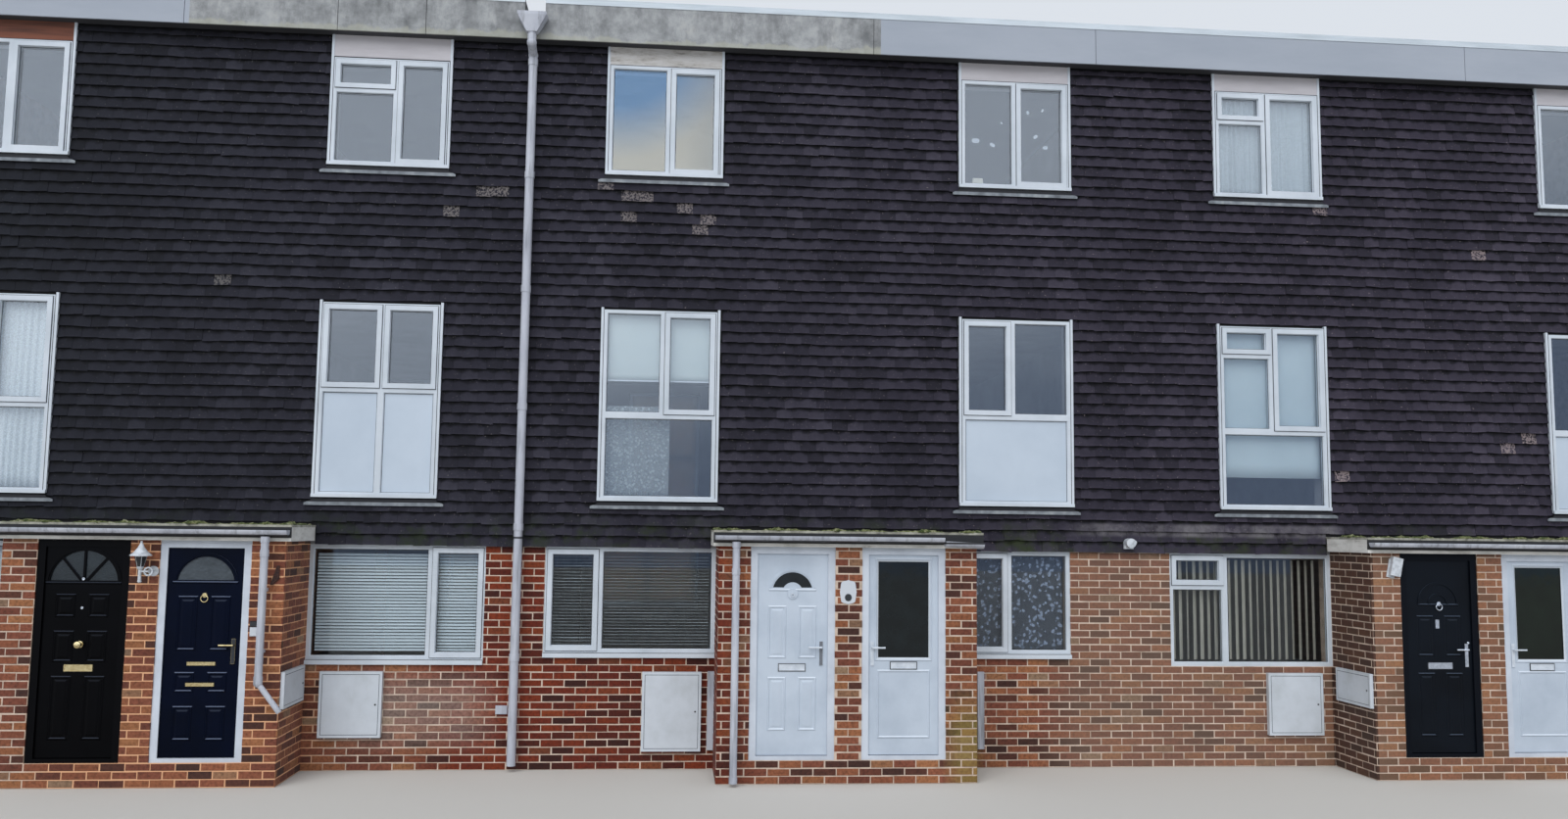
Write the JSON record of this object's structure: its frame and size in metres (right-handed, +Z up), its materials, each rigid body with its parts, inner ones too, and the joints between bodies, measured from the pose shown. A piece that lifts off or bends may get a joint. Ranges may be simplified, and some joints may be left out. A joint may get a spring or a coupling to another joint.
{
  "type": "terraced house row",
  "caption": "Row of narrow three-storey flat-roofed terraced houses, brick below and tile-hung above, with shared brick porches and front doors that open.",
  "frame": {"origin": "on the ground at the middle of the main block, under the middle party wall", "axes": "+X along the row to the right as seen from the front, the front faces -Y, +Z up"},
  "size_m": [20.267, 9.625, 8.029],
  "materials": {
    "concrete": "trowelled concrete",
    "plaster": "plain boarded and plastered wall",
    "brick": "multi-colour facing brick with pale mortar",
    "tile": "weathered charcoal plain tiles",
    "felt": "mineral felt, mossy at the edges",
    "trim_metal": "dull mill finish",
    "fascia_board": "weathered grey board with dark runs",
    "soffit_board": "grey board",
    "upvc": "white plastic, lightly soiled",
    "glass": "clear double glazing",
    "lead": "weathered lead",
    "painted_board": "white paint, peeling",
    "gutter_plastic": "faded grey plastic",
    "steel": "satin steel",
    "meter_plastic": "white moulded plastic",
    "light_body": "white casing",
    "black_paint": "black gloss",
    "navy_paint": "navy gloss",
    "charcoal_paint": "charcoal satin",
    "brass": "polished brass"
  },
  "bodies": {
    "root": {"ground_slab": "concrete", "party_walls": "brick", "end_walls": "brick", "ground_piers": "brick", "dwarf_walls": "brick", "upper_posts": "plaster", "upper_spandrels": "plaster", "tile_hanging": "tile", "upper_floors": "plaster", "roof_deck": "felt", "roof_trim": "trim_metal", "fascias": "fascia_board", "soffits": "soffit_board", "window_frames_ground": "upvc", "window_frames_first": "upvc", "window_frames_second": "upvc", "window_glass": "glass", "window_panels": "upvc", "window_sills": "upvc", "lead_aprons": "lead", "head_boards": "painted_board", "rear_doors": "upvc", "porch_walls": "brick", "porch_front_piers": "brick", "door_steps": "brick", "porch_floors": "concrete", "porch_roofs": "felt", "porch_fascias": "painted_board", "porch_gutters": "gutter_plastic", "porch_downpipes": "gutter_plastic", "door_frame_posts": "upvc", "door_frame_rails": "upvc", "door_hinges": "steel", "hopper_head": "gutter_plastic", "main_downpipe": "gutter_plastic", "meter_boxes": "meter_plastic", "wall_ducts": "gutter_plastic", "wall_lights": "light_body"},
    "door_1": {"door_leaf_1": "black_paint", "door_glass_1": "glass", "door_fittings_1": "brass"},
    "door_2": {"door_leaf_2": "navy_paint", "door_glass_2": "glass", "door_fittings_2": "brass"},
    "door_3": {"door_leaf_3": "upvc", "door_glass_3": "glass", "door_fittings_3": "steel"},
    "door_4": {"door_leaf_4": "upvc", "door_glass_4": "glass", "door_fittings_4": "steel"},
    "door_5": {"door_leaf_5": "charcoal_paint", "door_fittings_5": "steel"},
    "door_6": {"door_leaf_6": "upvc", "door_glass_6": "glass", "door_fittings_6": "steel"}
  },
  "joints": [
    {"name": "door_1_hinge", "type": "hinge", "parent": "root", "child": "door_1", "pos_m": [-7.589, -4.91, 1.2], "axis": [0, 0, 1], "range_deg": [0, 90]},
    {"name": "door_2_hinge", "type": "hinge", "parent": "root", "child": "door_2", "pos_m": [-6.486, -4.91, 1.2], "axis": [0, 0, 1], "range_deg": [0, 90]},
    {"name": "door_3_hinge", "type": "hinge", "parent": "root", "child": "door_3", "pos_m": [-0.909, -4.91, 1.2], "axis": [0, 0, 1], "range_deg": [0, 90]},
    {"name": "door_4_hinge", "type": "hinge", "parent": "root", "child": "door_4", "pos_m": [0.909, -4.91, 1.2], "axis": [0, 0, -1], "range_deg": [0, 90]},
    {"name": "door_5_hinge", "type": "hinge", "parent": "root", "child": "door_5", "pos_m": [5.771, -4.91, 1.2], "axis": [0, 0, 1], "range_deg": [0, 90]},
    {"name": "door_6_hinge", "type": "hinge", "parent": "root", "child": "door_6", "pos_m": [7.589, -4.91, 1.2], "axis": [0, 0, -1], "range_deg": [0, 90]}
  ]
}
